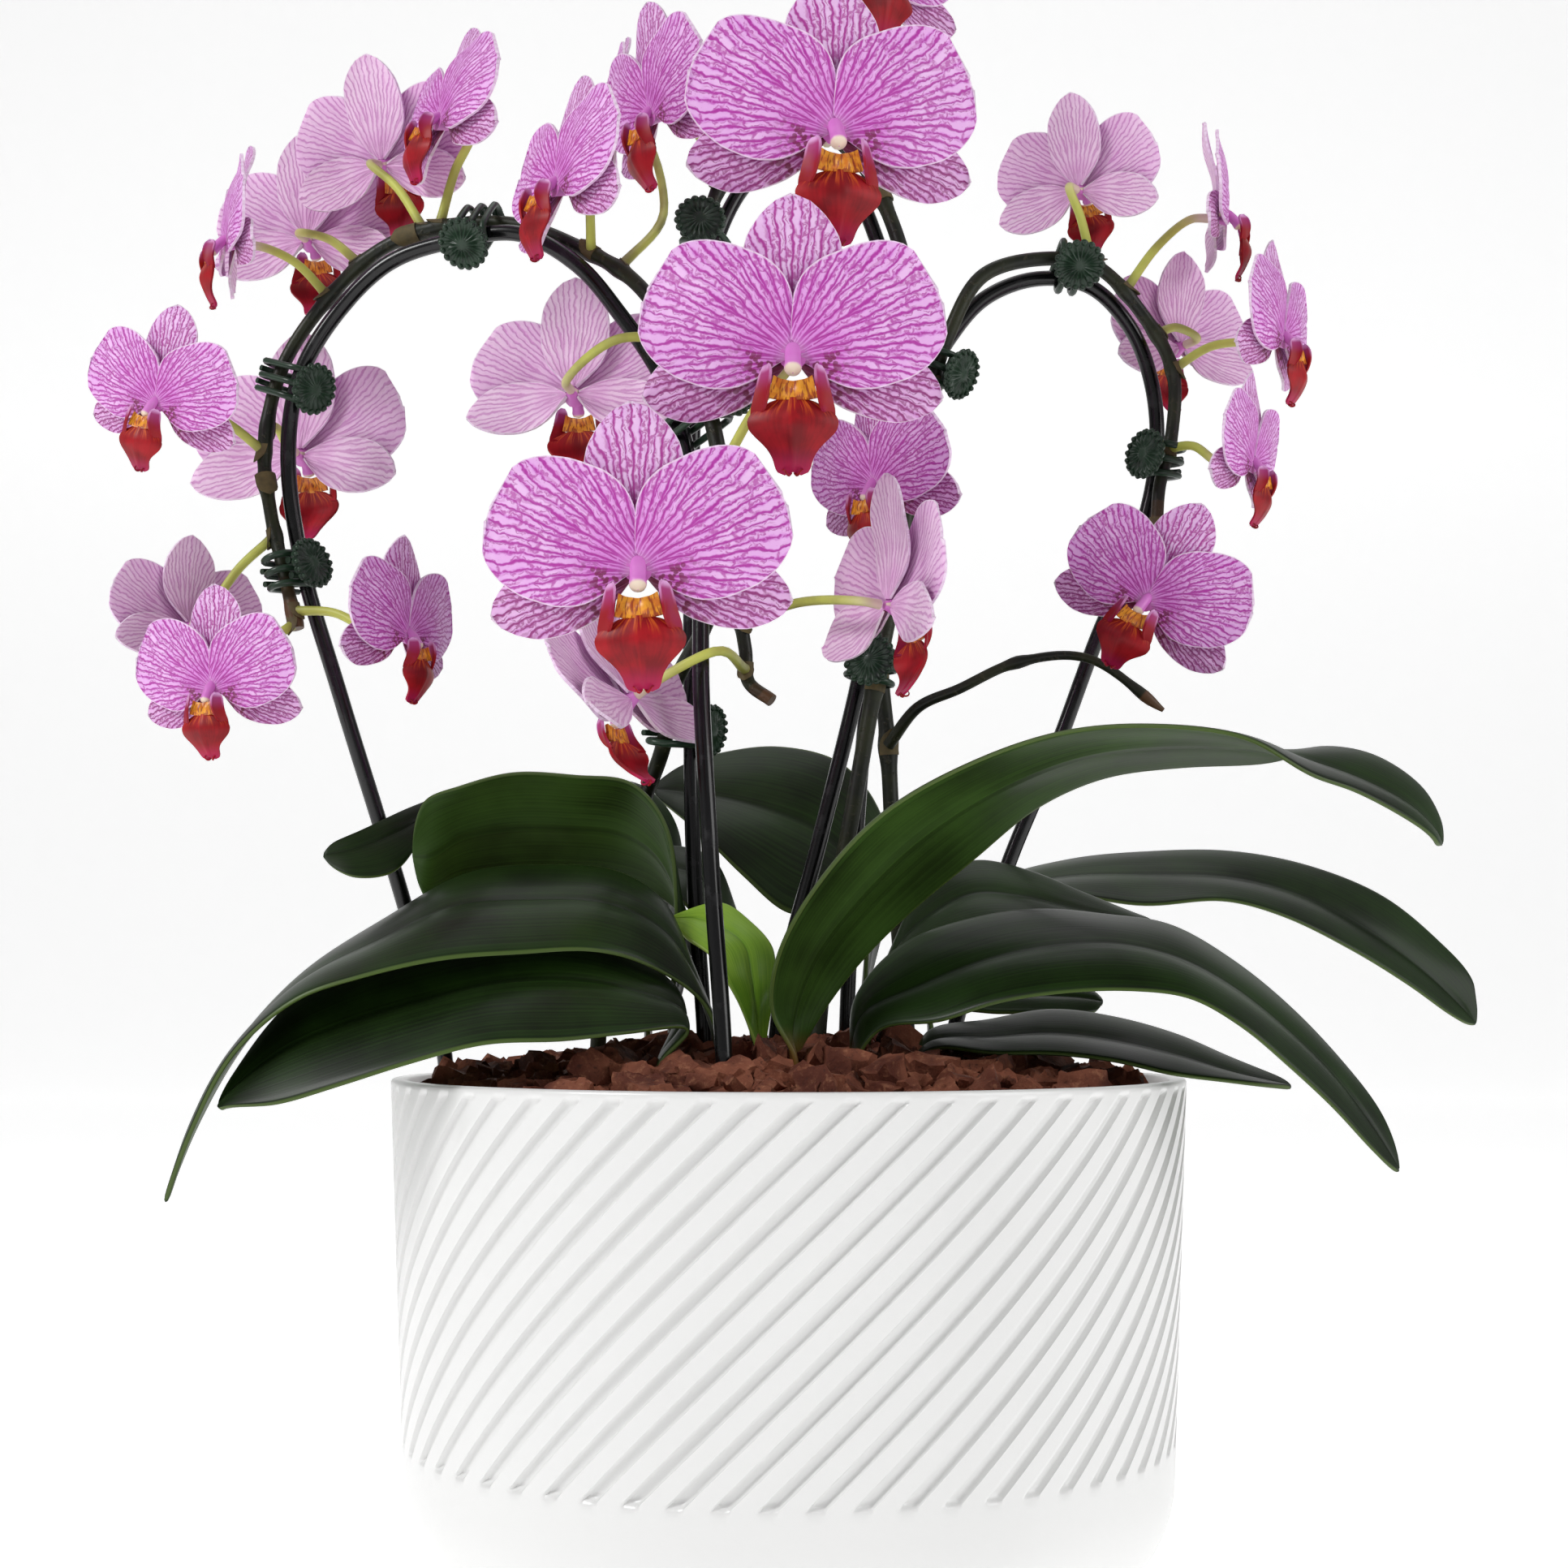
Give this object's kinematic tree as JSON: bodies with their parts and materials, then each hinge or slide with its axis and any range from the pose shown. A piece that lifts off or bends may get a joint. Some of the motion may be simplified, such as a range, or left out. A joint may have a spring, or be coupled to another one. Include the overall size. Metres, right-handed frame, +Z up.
{
  "type": "potted moth orchid",
  "caption": "Moth orchid with veined pink blooms on arched spikes clipped to black hoops, strap leaves and bark in a round white planter with slanting ribs.",
  "frame": {"origin": "centre of the planter's flat base, on the surface that it stands on", "axes": "+Z up along the planter's axis, -Y towards the viewer of the picture, +X to the viewer's right"},
  "size_m": [0.4414, 0.2528, 0.5329],
  "materials": {
    "planter": "satin white glaze over slanting ribs",
    "bark": "rough red-brown bark chips",
    "hoop": "gloss black coated rod",
    "stem": "smooth dark green-brown stem, paler at the flower stalks",
    "clip": "dark green moulded plastic",
    "leaf": "waxy deep green blade",
    "petal": "soft pink with branching magenta veins",
    "lip": "waxy crimson with an orange and yellow callus"
  },
  "bodies": {
    "root": {"pot": "planter", "bark": "bark", "hoop_left": "hoop", "hoop_center": "hoop", "hoop_right": "hoop", "spike_left": "stem", "spike_center": "stem", "spike_right": "stem", "clip_01": "clip", "clip_02": "clip", "clip_03": "clip", "clip_04": "clip", "clip_05": "clip", "clip_06": "clip", "clip_07": "clip", "clip_08": "clip", "clip_09": "clip", "clip_10": "clip", "leaf_01": "leaf", "leaf_02": "leaf", "leaf_03": "leaf", "leaf_04": "leaf", "leaf_05": "leaf", "leaf_06": "leaf", "leaf_07": "leaf", "leaf_08": "leaf", "leaf_09": "leaf", "leaf_10": "leaf", "leaf_11": "leaf", "leaf_12": "leaf", "leaf_13": "leaf", "bloom_01": "petal", "bloom_02": "petal", "bloom_03": "petal", "bloom_04": "petal", "bloom_05": "petal", "bloom_06": "petal", "bloom_07": "petal", "bloom_08": "petal", "bloom_09": "petal", "bloom_10": "petal", "bloom_11": "petal", "bloom_12": "petal", "bloom_13": "petal", "bloom_14": "petal", "bloom_15": "petal", "bloom_16": "petal", "bloom_17": "petal", "bloom_18": "petal", "bloom_19": "petal", "bloom_20": "petal", "bloom_21": "petal", "bloom_22": "petal", "bloom_23": "petal", "bloom_24": "petal", "bloom_25": "petal", "bloom_26": "petal", "lip_02": "lip", "lip_03": "lip", "lip_04": "lip"}
  },
  "joints": []
}
